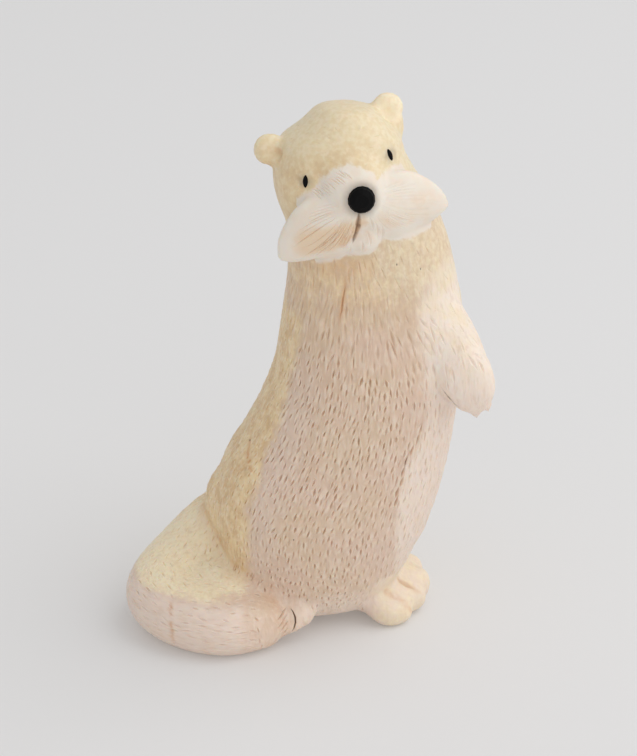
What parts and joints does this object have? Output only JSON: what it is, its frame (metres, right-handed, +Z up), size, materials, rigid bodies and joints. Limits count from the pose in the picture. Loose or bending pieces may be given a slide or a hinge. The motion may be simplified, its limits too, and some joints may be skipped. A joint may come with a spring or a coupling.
{
  "type": "carved sea otter figurine",
  "caption": "Small upright sea otter carved in one piece of walrus ivory, with chiselled fur, broad whisker pads, a curled tail and inlaid black nose and eyes.",
  "frame": {"origin": "on the ground, at the middle of the carving's bounding box", "axes": "+Z up, from the foot to the ears; the chest faces -Y; the tail curls round at -X"},
  "size_m": [0.0482, 0.0304, 0.0723],
  "materials": {
    "ivory": "satin",
    "black_inlay": "satin"
  },
  "bodies": {
    "root": {"otter": "ivory", "nose": "black_inlay", "eye_left": "black_inlay", "eye_right": "black_inlay"}
  },
  "joints": []
}
